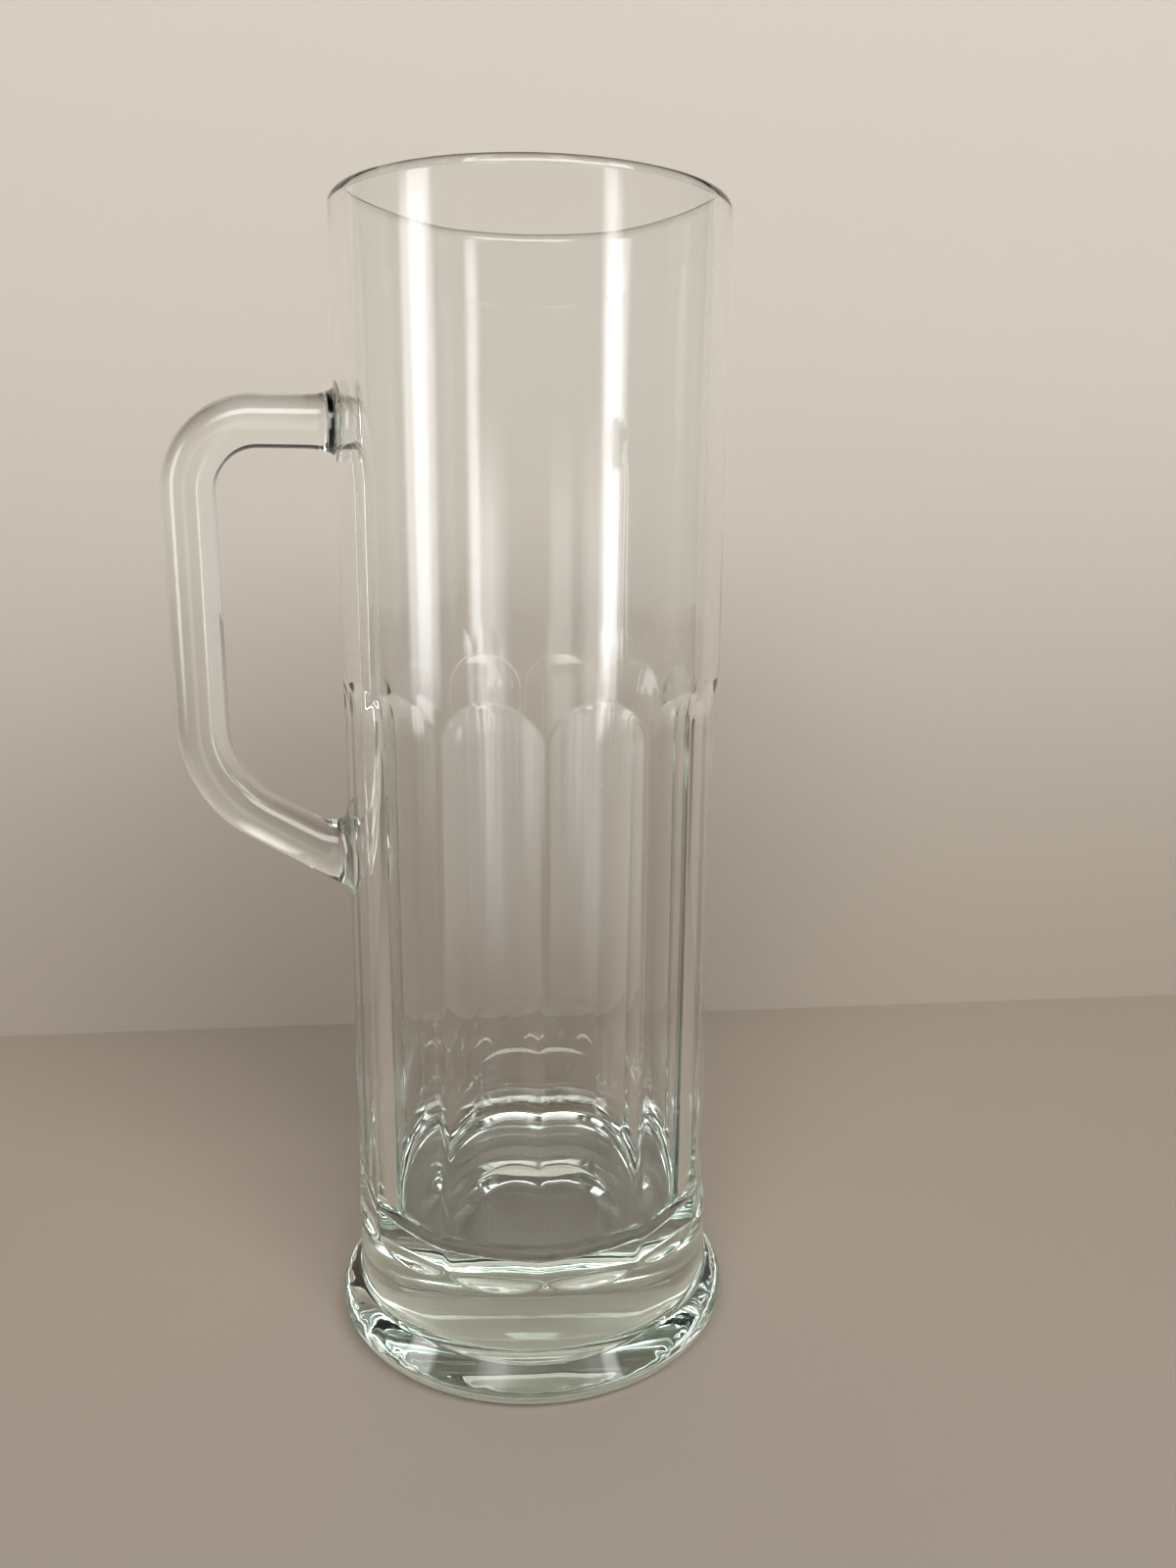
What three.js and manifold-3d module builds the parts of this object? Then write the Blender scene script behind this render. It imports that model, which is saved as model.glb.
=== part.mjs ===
// A tall glass beer mug: a pressed body with arched flutes and a heavy foot, and a bent rod handle.
// Millimetres, +Z up. The mug stands on z = 0, its axis is the Z axis and the handle points to -X.

import * as THREE from 'three';
import { mergeVertices } from 'three/addons/utils/BufferGeometryUtils.js';
import Module from 'manifold-3d';

const wasm = await Module();
wasm.setup();

// Body: a barrel that tapers a little from the neck above the foot to the rim
const MUG_HEIGHT = 213;
const RIM_DIAMETER = 70;
const NECK_DIAMETER = 71;
const RIM_WALL = 3.4;
const BASE_WALL = 4.2;

// Foot: a rounded toe, a straight sloping shoulder and a fillet up to the neck
const FOOT_OVERHANG = 3.9;
const TOE_WIDTH = 6.4;
const TOE_HEIGHT = 4.1;
const FOOT_UPPER_ROUND = 1.6;
const SHOULDER_ANGLE = 36;
const NECK_FILLET = 4;

// Heavy base: a dished floor inside, and a flat panel under it that slopes down to the ring the mug stands on
const FLOOR_HEIGHT = 25;
const FLOOR_DISH = 1.2;
const FLOOR_CORNER = 7;
const PANEL_DIAMETER = 33;
const PANEL_DEPTH = 1.15;
const PANEL_SLOPE_WIDTH = 8;

// Flutes: flat panels that run out of the barrel in a round arch at the top and a tight heel below
const FLUTE_COUNT = 12;
const PLAIN_BAND = 82.5;
const HEEL_BAND = 11.3;
const ARCH_RISE = 7.6;
const HEEL_RISE = 2.6;
const RIDGE_LAND = 0.9;
const CUTTER_MARGIN = 1;

// Handle: a round rod with two bends, flared where it is fused to the wall
const ROD_DIAMETER = 9.4;
const FINGER_GAP = 21.5;
const UPPER_JOINT_DROP = 37;
const JOINT_SPAN = 81.2;
const LOWER_ARM_SLOPE = 30;
const UPPER_BEND_RADIUS = 12.5;
const LOWER_BEND_RADIUS = 20;
const UPPER_FLARE_LENGTH = 4;
const UPPER_FLARE_GROWTH = 2.2;
const LOWER_FLARE_LENGTH = 9;
const LOWER_FLARE_RISE = 4.4;
const LOWER_FLARE_SPREAD = 2.2;
const LOWER_FLARE_LIFT = 3.2;
const FLARE_POWER = 1.8;
const FLARE_EMBED = 2.5;

// Clearance between the two pieces, and how finely curves are divided
const JOINT_GAP = 0.3;
const SEGMENTS_PER_FLUTE = 6;
const ARC_STEPS = 8;
const RIM_STEPS = 6;
const DISH_STEPS = 3;
const ROD_SIDES = 24;
const ROD_STATIONS = 40;
const FLARE_STATIONS = 9;
const MERGE_DISTANCE = 1e-5;

const glass = new THREE.MeshStandardMaterial({
  color: 0xdfe9e4,
  roughness: 0.05,
  metalness: 0,
  transparent: true,
  opacity: 0.35,
});

const { degToRad, lerp, mapLinear } = THREE.MathUtils;

const rimRadius = RIM_DIAMETER / 2;
const neckRadius = NECK_DIAMETER / 2;
const footRadius = neckRadius + FOOT_OVERHANG;
const lipRadius = RIM_WALL / 2;
const lipHeight = MUG_HEIGHT - lipRadius;
const neckHeight = shoulderTop() + NECK_FILLET * Math.tan(degToRad(SHOULDER_ANGLE) / 2);
const fluteTop = MUG_HEIGHT - PLAIN_BAND;
const fluteBottom = neckHeight + HEEL_BAND;
const upperJointHeight = MUG_HEIGHT - UPPER_JOINT_DROP;
const lowerJointHeight = upperJointHeight - JOINT_SPAN;
const armSlope = degToRad(LOWER_ARM_SLOPE);
const lowerEmbed = FLARE_EMBED / Math.cos(armSlope);

// Height at which the foot's straight shoulder would meet the neck if there were no fillet.
function shoulderTop() {
  const slope = degToRad(SHOULDER_ANGLE);
  const startRadius = footRadius - FOOT_UPPER_ROUND * (1 - Math.cos(slope));
  const startHeight = TOE_HEIGHT + FOOT_UPPER_ROUND * Math.sin(slope);
  return startHeight + (startRadius - neckRadius) / Math.tan(slope);
}

// Outside radius of the barrel, which tapers evenly from the neck to the rim.
function barrelRadius(z) {
  return mapLinear(z, neckHeight, lipHeight, neckRadius, rimRadius);
}

// Points of an elliptical arc in the profile plane, from one angle to another in degrees.
function arc(centreX, centreY, radiusX, radiusY, fromDegrees, toDegrees, steps = ARC_STEPS) {
  return Array.from({ length: steps + 1 }, (_, i) => {
    const angle = degToRad(lerp(fromDegrees, toDegrees, i / steps));
    return new THREE.Vector2(centreX + radiusX * Math.cos(angle), centreY + radiusY * Math.sin(angle));
  });
}

// Outline of the foot, from the middle of the underside out to the top of the neck fillet.
function footProfile() {
  const panelRadius = PANEL_DIAMETER / 2;
  const toeCentre = footRadius - TOE_WIDTH;
  const upperCentre = footRadius - FOOT_UPPER_ROUND;
  const filletCentre = neckRadius + NECK_FILLET;
  return [
    new THREE.Vector2(0, PANEL_DEPTH),
    new THREE.Vector2(panelRadius, PANEL_DEPTH),
    new THREE.Vector2(panelRadius + PANEL_SLOPE_WIDTH, 0),
    ...arc(toeCentre, TOE_HEIGHT, TOE_WIDTH, TOE_HEIGHT, -90, 0),
    ...arc(upperCentre, TOE_HEIGHT, FOOT_UPPER_ROUND, FOOT_UPPER_ROUND, 0, SHOULDER_ANGLE).slice(1),
    ...arc(filletCentre, neckHeight, NECK_FILLET, NECK_FILLET, 180 + SHOULDER_ANGLE, 180),
  ];
}

// Outline of the hollow, from the lip down the inner wall to the middle of the dished floor.
function hollowProfile() {
  const cornerX = neckRadius - BASE_WALL - FLOOR_CORNER;
  const dish = Array.from({ length: DISH_STEPS }, (_, i) => {
    const share = 1 - (i + 1) / DISH_STEPS;
    return new THREE.Vector2(cornerX * share, FLOOR_HEIGHT - FLOOR_DISH * (1 - share ** 2));
  });
  return [
    ...arc(rimRadius - lipRadius, lipHeight, lipRadius, lipRadius, 0, 180, RIM_STEPS),
    ...arc(cornerX, FLOOR_HEIGHT + FLOOR_CORNER, FLOOR_CORNER, FLOOR_CORNER, 0, -90),
    ...dish,
  ];
}

// A solid of revolution about Z from a profile that starts and ends on the axis.
function revolve(profile) {
  const geometry = new THREE.LatheGeometry(profile, FLUTE_COUNT * SEGMENTS_PER_FLUTE);
  geometry.rotateX(Math.PI / 2);
  return toSolid(geometry);
}

// The closed mesh of a geometry as a solid that can be cut.
function toSolid(geometry) {
  geometry.deleteAttribute('normal');
  geometry.deleteAttribute('uv');
  const merged = mergeVertices(geometry, MERGE_DISTANCE);
  const mesh = new wasm.Mesh({
    numProp: 3,
    vertProperties: new Float32Array(merged.attributes.position.array),
    triVerts: new Uint32Array(merged.index.array),
  });
  mesh.merge();
  return new wasm.Manifold(mesh);
}

// The surface of a solid as a named mesh.
function toMesh(solid, name) {
  const surface = solid.getMesh();
  const geometry = new THREE.BufferGeometry();
  geometry.setAttribute('position', new THREE.BufferAttribute(surface.vertProperties, surface.numProp));
  geometry.setIndex(new THREE.BufferAttribute(surface.triVerts, 1));
  geometry.computeVertexNormals();
  const mesh = new THREE.Mesh(geometry, glass.clone());
  mesh.name = name;
  return mesh;
}

// Radius and sweep of a run-out: the arc that leaves a panel and reaches the barrel after its rise.
function runOut(depth, rise) {
  const radius = (rise ** 2 + depth ** 2) / (2 * depth);
  return { radius, sweep: Math.acos(1 - (depth + CUTTER_MARGIN) / radius) };
}

// What one flute takes off the barrel: the space outside its flat panel, closed by the two run-outs.
function fluteCutter(index, clearance) {
  const pitch = Math.PI / FLUTE_COUNT;
  const halfAngle = pitch - RIDGE_LAND / (2 * barrelRadius(fluteTop));
  const archStart = fluteTop - ARCH_RISE;
  const heelStart = fluteBottom + HEEL_RISE;
  const panelTop = barrelRadius(archStart) * Math.cos(halfAngle);
  const panelBottom = barrelRadius(heelStart) * Math.cos(halfAngle);
  const arch = runOut(barrelRadius(fluteTop) - panelTop, ARCH_RISE);
  const heel = runOut(barrelRadius(fluteBottom) - panelBottom, HEEL_RISE);
  const archX = panelTop + clearance + arch.radius;
  const heelX = panelBottom + clearance + heel.radius;
  const outline = new THREE.Shape();
  outline.moveTo(panelTop + clearance, archStart);
  outline.absarc(archX, archStart, arch.radius, Math.PI, Math.PI - arch.sweep, true);
  outline.absarc(heelX, heelStart, heel.radius, Math.PI + heel.sweep, Math.PI, true);
  const halfWidth = barrelRadius(fluteBottom) * Math.tan(pitch);
  const options = { depth: 2 * halfWidth, bevelEnabled: false, curveSegments: ARC_STEPS };
  const geometry = new THREE.ExtrudeGeometry(outline, options);
  geometry.translate(0, 0, -halfWidth);
  geometry.rotateX(Math.PI / 2);
  geometry.rotateZ((2 * index + 1) * pitch);
  return toSolid(geometry);
}

// A solid with every flute cut into it.
function cutFlutes(blank, clearance) {
  const cutters = Array.from({ length: FLUTE_COUNT }, (_, index) => fluteCutter(index, clearance));
  return blank.subtract(wasm.Manifold.union(cutters));
}

// The pressed glass body with its foot, barrel, flutes and hollow.
function buildBody() {
  return cutFlutes(revolve([...footProfile(), ...hollowProfile()]), 0);
}

// The barrel without its hollow, grown by the joint gap: what the handle must stay clear of.
function barrelEnvelope() {
  const blank = revolve([
    new THREE.Vector2(0, neckHeight),
    new THREE.Vector2(neckRadius + JOINT_GAP, neckHeight),
    new THREE.Vector2(rimRadius + JOINT_GAP, lipHeight),
    new THREE.Vector2(0, lipHeight),
  ]);
  return cutFlutes(blank, JOINT_GAP);
}

// The rod's centre line in the handle's plane: x is the distance from the mug's axis, y the height.
function handlePath() {
  const upperWall = barrelRadius(upperJointHeight);
  const lowerWall = barrelRadius(lowerJointHeight);
  const gripX = upperWall + FINGER_GAP + ROD_DIAMETER / 2;
  const turn = Math.PI / 2 - armSlope;
  const lowerCentreX = gripX - LOWER_BEND_RADIUS;
  const bendEndX = lowerCentreX + LOWER_BEND_RADIUS * Math.cos(turn);
  const bendEndY = lowerJointHeight + (bendEndX - lowerWall) * Math.tan(armSlope);
  const lowerCentreY = bendEndY + LOWER_BEND_RADIUS * Math.sin(turn);
  const upperCentreX = gripX - UPPER_BEND_RADIUS;
  const upperCentreY = upperJointHeight - UPPER_BEND_RADIUS;
  const path = new THREE.Path();
  path.moveTo(upperWall - FLARE_EMBED, upperJointHeight);
  path.lineTo(upperCentreX, upperJointHeight);
  path.absarc(upperCentreX, upperCentreY, UPPER_BEND_RADIUS, Math.PI / 2, 0, true);
  path.lineTo(gripX, lowerCentreY);
  path.absarc(lowerCentreX, lowerCentreY, LOWER_BEND_RADIUS, 0, -turn, true);
  path.lineTo(lowerWall - FLARE_EMBED, lowerJointHeight - FLARE_EMBED * Math.tan(armSlope));
  return path;
}

// How far a flare has opened at a distance from the wall: 0 where it starts on the rod, 1 at the wall.
function flareAmount(distance, flareLength) {
  const share = (flareLength - distance) / flareLength;
  return share <= 0 ? 0 : share ** FLARE_POWER;
}

// Distances along the rod at which it has a section: close together in the flares, even between them.
function handleStations(length) {
  const upperEnd = FLARE_EMBED + UPPER_FLARE_LENGTH;
  const lowerStart = length - lowerEmbed - LOWER_FLARE_LENGTH;
  const spread = (from, to, count) => Array.from({ length: count }, (_, i) => lerp(from, to, i / count));
  return [
    ...spread(0, upperEnd, FLARE_STATIONS),
    ...spread(upperEnd, lowerStart, ROD_STATIONS),
    ...spread(lowerStart, length, FLARE_STATIONS),
    length,
  ];
}

// One section of the rod: a round of points that leans from square on the rod to flat on the wall.
function handleSection(path, distance, length) {
  const point = path.getPointAt(distance / length);
  const tangent = path.getTangentAt(distance / length);
  const upper = flareAmount(distance - FLARE_EMBED, UPPER_FLARE_LENGTH);
  const lower = flareAmount(length - distance - lowerEmbed, LOWER_FLARE_LENGTH);
  const lean = Math.min(lower, 1);
  const squareAngle = Math.atan2(tangent.x, -tangent.y);
  const wallAngle = -Math.PI / 2;
  const angle = lerp(squareAngle, wallAngle, lean);
  const rise = ROD_DIAMETER / 2 + UPPER_FLARE_GROWTH * upper + LOWER_FLARE_RISE * lean;
  const spread = ROD_DIAMETER / 2 + UPPER_FLARE_GROWTH * upper + LOWER_FLARE_SPREAD * lower;
  return Array.from({ length: ROD_SIDES }, (_, i) => {
    const turn = (2 * Math.PI * i) / ROD_SIDES;
    const out = point.x + rise * Math.cos(turn) * Math.cos(angle);
    const up = point.y + LOWER_FLARE_LIFT * lean + rise * Math.cos(turn) * Math.sin(angle);
    return new THREE.Vector3(-out, spread * Math.sin(turn), up);
  });
}

// A closed skin over a row of sections that all have the same number of points.
function loft(sections) {
  const sides = sections[0].length;
  const last = (sections.length - 1) * sides;
  const index = [];
  for (let row = 0; row < sections.length - 1; row += 1) {
    for (let i = 0; i < sides; i += 1) {
      const a = row * sides + i;
      const b = row * sides + ((i + 1) % sides);
      index.push(a, b, a + sides, b, b + sides, a + sides);
    }
  }
  for (let i = 1; i < sides - 1; i += 1) {
    index.push(0, i + 1, i, last, last + i, last + i + 1);
  }
  const geometry = new THREE.BufferGeometry().setFromPoints(sections.flat());
  geometry.setIndex(index);
  return toSolid(geometry);
}

// The bent rod with its flared ends shaped to the wall they are fused to.
function buildHandle() {
  const path = handlePath();
  const length = path.getLength();
  const sections = handleStations(length).map((distance) => handleSection(path, distance, length));
  return loft(sections).subtract(barrelEnvelope());
}

const mug = new THREE.Group();
mug.add(toMesh(buildBody(), 'glass_body'));
mug.add(toMesh(buildHandle(), 'handle'));

export default mug;
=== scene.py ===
"""A tall glass beer mug: a pressed, fluted body with a heavy foot, and a bent rod handle fused to its side.

The pieces stand on z = 0 with the mug's axis on Z and the handle towards -X, in metres.
"""

import logging
import math
from dataclasses import dataclass
from enum import Enum

import bpy
import numpy as np
from mathutils import Matrix, Vector


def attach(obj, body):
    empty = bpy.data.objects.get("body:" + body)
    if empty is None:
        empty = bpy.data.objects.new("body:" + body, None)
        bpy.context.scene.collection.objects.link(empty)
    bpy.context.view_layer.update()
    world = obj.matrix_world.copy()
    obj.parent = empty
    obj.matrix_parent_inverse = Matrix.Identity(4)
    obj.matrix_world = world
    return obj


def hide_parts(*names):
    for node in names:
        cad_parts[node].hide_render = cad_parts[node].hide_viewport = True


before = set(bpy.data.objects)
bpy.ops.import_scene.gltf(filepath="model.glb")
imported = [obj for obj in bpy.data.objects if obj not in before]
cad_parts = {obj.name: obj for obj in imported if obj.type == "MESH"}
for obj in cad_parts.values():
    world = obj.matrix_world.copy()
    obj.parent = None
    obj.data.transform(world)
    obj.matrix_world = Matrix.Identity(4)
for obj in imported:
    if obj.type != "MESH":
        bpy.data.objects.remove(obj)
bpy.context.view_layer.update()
BODY = "root"
FUSED = "fused"
LOG = logging.getLogger("glass_mug")

Outline = list[tuple[float, float]]


class RunOut(Enum):
    """The two ends at which a flute runs out of the barrel."""

    ARCH = 1
    HEEL = -1


def deselect_all() -> None:
    """Leave nothing selected, so that the next operator acts only on what it adds."""
    if bpy.context.object is not None and bpy.context.object.mode != "OBJECT":
        bpy.ops.object.mode_set(mode="OBJECT")
    bpy.ops.object.select_all(action="DESELECT")


def arc(centre: tuple[float, float], radii: tuple[float, float], start: float, end: float,
        steps: int) -> Outline:
    """Points of an elliptical arc in the profile plane.

    Args:
        centre: Middle of the arc as radius and height.
        radii: Half widths of the ellipse along radius and height.
        start: First angle in degrees.
        end: Last angle in degrees.
        steps: Number of straight steps.

    Returns:
        The points from start to end.
    """
    angles = np.radians(np.linspace(start, end, steps + 1))
    return [(centre[0] + radii[0] * math.cos(a), centre[1] + radii[1] * math.sin(a)) for a in angles]


def straight(start: tuple[float, float], end: tuple[float, float], steps: int) -> Outline:
    """Points of a straight stretch of a profile without its last point.

    Args:
        start: First point.
        end: Point where the stretch ends.
        steps: Number of equal steps.

    Returns:
        The points from start up to the one before end.
    """
    return [(start[0] + (end[0] - start[0]) * i / steps, start[1] + (end[1] - start[1]) * i / steps)
            for i in range(steps)]


def read_points(piece: bpy.types.Object) -> np.ndarray:
    """The vertices of a piece.

    Args:
        piece: The mesh.

    Returns:
        An array with one row for each vertex.
    """
    points = np.empty(len(piece.data.vertices) * 3, np.float32)
    piece.data.vertices.foreach_get("co", points)
    return points.reshape(-1, 3).astype(float)


def write_points(piece: bpy.types.Object, points: np.ndarray) -> None:
    """Move the vertices of a piece to the rows of an array."""
    piece.data.vertices.foreach_set("co", points.astype(np.float32).ravel())
    piece.data.update()


def spin_outline(name: str, outline: Outline, columns: int, weld: float) -> bpy.types.Object:
    """Draw a profile by extruding one vertex and spin it about Z into a closed skin.

    Args:
        name: Name of the new piece.
        outline: Points as radius and height, from axis to axis.
        columns: Number of steps round the axis.
        weld: Distance under which vertices are merged.

    Returns:
        The new piece, with its place in its mesh and its faces pointing out.
    """
    deselect_all()
    first = outline[0]
    bpy.ops.mesh.primitive_plane_add(size=weld, location=(first[0], 0, first[1]))
    piece = bpy.context.object
    piece.name = name
    piece.data.name = name
    bpy.ops.object.mode_set(mode="EDIT")
    bpy.ops.mesh.merge(type="CENTER")
    for before, after in zip(outline, outline[1:]):
        move = (after[0] - before[0], 0, after[1] - before[1])
        bpy.ops.mesh.extrude_region_move(TRANSFORM_OT_translate={"value": move})
    bpy.ops.mesh.select_all(action="SELECT")
    bpy.ops.mesh.spin(steps=columns, angle=math.tau, center=(0, 0, 0), axis=(0, 0, 1))
    bpy.ops.mesh.select_all(action="SELECT")
    bpy.ops.mesh.remove_doubles(threshold=weld)
    bpy.ops.mesh.normals_make_consistent(inside=False)
    bpy.ops.object.mode_set(mode="OBJECT")
    bpy.ops.object.transform_apply(location=True, rotation=True, scale=True)
    bpy.ops.object.shade_smooth()
    return piece


def extrude_rings(name: str, rings: np.ndarray) -> bpy.types.Object:
    """Draw a round of vertices, extrude it ring by ring and close both ends at a point.

    Args:
        name: Name of the new piece.
        rings: Places of the vertices as rings, vertices of a ring, and coordinates.

    Returns:
        The new piece, with its place in its mesh and its faces pointing out.
    """
    deselect_all()
    count, sides = rings.shape[:2]
    bpy.ops.mesh.primitive_circle_add(vertices=sides, radius=1, fill_type="NOTHING")
    piece = bpy.context.object
    piece.name = name
    piece.data.name = name
    bpy.ops.object.mode_set(mode="EDIT")
    for _ in range(count - 1):
        bpy.ops.mesh.extrude_region_move(TRANSFORM_OT_translate={"value": (0, 0, 1)})
    bpy.ops.object.mode_set(mode="OBJECT")
    write_points(piece, rings.reshape(-1, 3))
    for end in (0, count - 1):
        deselect_vertices(piece)
        for i in range(end * sides, (end + 1) * sides):
            piece.data.vertices[i].select = True
        bpy.ops.object.mode_set(mode="EDIT")
        bpy.ops.mesh.edge_face_add()
        bpy.ops.mesh.poke()
        bpy.ops.object.mode_set(mode="OBJECT")
    bpy.ops.object.mode_set(mode="EDIT")
    bpy.ops.mesh.select_all(action="SELECT")
    bpy.ops.mesh.normals_make_consistent(inside=False)
    bpy.ops.object.mode_set(mode="OBJECT")
    bpy.ops.object.shade_smooth()
    return piece


def deselect_vertices(piece: bpy.types.Object) -> None:
    """Leave no vertex, edge or face of a piece selected.

    Args:
        piece: The mesh.
    """
    mesh = piece.data
    mesh.vertices.foreach_set("select", np.zeros(len(mesh.vertices), bool))
    mesh.edges.foreach_set("select", np.zeros(len(mesh.edges), bool))
    mesh.polygons.foreach_set("select", np.zeros(len(mesh.polygons), bool))


def whole_faces(piece: bpy.types.Object, chosen: np.ndarray) -> np.ndarray:
    """The faces of a piece that have only chosen vertices.

    Args:
        piece: The mesh.
        chosen: True for each chosen vertex.

    Returns:
        True for each such face.
    """
    mesh = piece.data
    corners = np.empty(len(mesh.loops), np.int32)
    mesh.loops.foreach_get("vertex_index", corners)
    starts = np.empty(len(mesh.polygons), np.int32)
    mesh.polygons.foreach_get("loop_start", starts)
    return np.logical_and.reduceat(chosen[corners], starts)


def mark_fused(piece: bpy.types.Object, faces: np.ndarray) -> None:
    """Mark the faces at which two pieces are one glass, so that light passes them straight.

    Args:
        piece: The mesh.
        faces: True for each such face.
    """
    mark = piece.data.attributes.new(FUSED, "FLOAT", "FACE")
    mark.data.foreach_set("value", faces.astype(np.float32))


@dataclass(frozen=True)
class Ripple:
    """A soft unevenness of pressed glass, pushed into part of a mesh."""

    name: str
    size: float
    depth: float
    stretch: float = 1.0

    def press(self, piece: bpy.types.Object, weights: np.ndarray) -> None:
        """Displace a piece along its normals by a cloud pattern.

        Args:
            piece: The mesh to press.
            weights: Share of the depth for each vertex, from 0 to 1.
        """
        group = piece.vertex_groups.new(name=self.name)
        shares = np.round(weights, 2)
        for level in np.unique(shares[shares > 0]):
            group.add(np.nonzero(shares == level)[0].tolist(), float(level), "REPLACE")
        pattern = bpy.data.textures.new(self.name, "CLOUDS")
        pattern.noise_scale = self.size
        pattern.noise_depth = 1
        push = piece.modifiers.new(self.name, "DISPLACE")
        deselect_all()
        bpy.ops.object.empty_add(location=(0, 0, 0))
        grid = bpy.context.object
        grid.scale = (1, 1, self.stretch)
        push.texture = pattern
        push.texture_coords = "OBJECT"
        push.texture_coords_object = grid
        push.direction = "NORMAL"
        push.strength = self.depth
        push.mid_level = 0.5
        push.vertex_group = group.name
        deselect_all()
        piece.select_set(True)
        bpy.context.view_layer.objects.active = piece
        bpy.ops.object.modifier_apply(modifier=push.name)
        piece.vertex_groups.clear()
        bpy.data.objects.remove(grid)
        bpy.data.textures.remove(pattern)


@dataclass(frozen=True)
class GlassFinish:
    """Clear glass with the faint marks that pressing and use leave on it."""

    name: str
    tint: tuple[float, float, float] = (0.78, 0.90, 0.84)
    tint_density: float = 12.0
    refraction: float = 1.52
    polish: float = 0.004
    smudge: float = 0.03
    wave_scale: float = 70.0
    wave_depth: float = 0.00001
    scratch_depth: float = 0.000002

    def material(self, marks: bpy.types.NodeTree) -> bpy.types.Material:
        """Make the material of this finish.

        Args:
            marks: The shared node group of surface marks.

        Returns:
            The new material.
        """
        made = bpy.data.materials.new(self.name)
        made.use_nodes = True
        tree = made.node_tree
        shader = tree.nodes["Principled BSDF"]
        shader.inputs["Base Color"].default_value = (1, 1, 1, 1)
        shader.inputs["Transmission Weight"].default_value = 1.0
        joint = tree.nodes.new("ShaderNodeAttribute")
        joint.attribute_name = FUSED
        bend = tree.nodes.new("ShaderNodeMapRange")
        bend.inputs["To Min"].default_value = self.refraction
        bend.inputs["To Max"].default_value = 1.0
        tree.links.new(joint.outputs["Fac"], bend.inputs["Value"])
        tree.links.new(bend.outputs["Result"], shader.inputs["IOR"])
        surface = tree.nodes.new("ShaderNodeGroup")
        surface.node_tree = marks
        surface.inputs["Wave Scale"].default_value = self.wave_scale
        surface.inputs["Wave Depth"].default_value = self.wave_depth
        surface.inputs["Scratch Depth"].default_value = self.scratch_depth
        surface.inputs["Polish"].default_value = self.polish
        surface.inputs["Smudge"].default_value = self.smudge
        bump = tree.nodes.new("ShaderNodeBump")
        bump.inputs["Strength"].default_value = 1.0
        bump.inputs["Distance"].default_value = 1.0
        body = tree.nodes.new("ShaderNodeVolumeAbsorption")
        body.inputs["Color"].default_value = (*self.tint, 1)
        body.inputs["Density"].default_value = self.tint_density
        tree.links.new(surface.outputs["Roughness"], shader.inputs["Roughness"])
        tree.links.new(surface.outputs["Height"], bump.inputs["Height"])
        tree.links.new(bump.outputs["Normal"], shader.inputs["Normal"])
        tree.links.new(body.outputs["Volume"], tree.nodes["Material Output"].inputs["Volume"])
        return made


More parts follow.
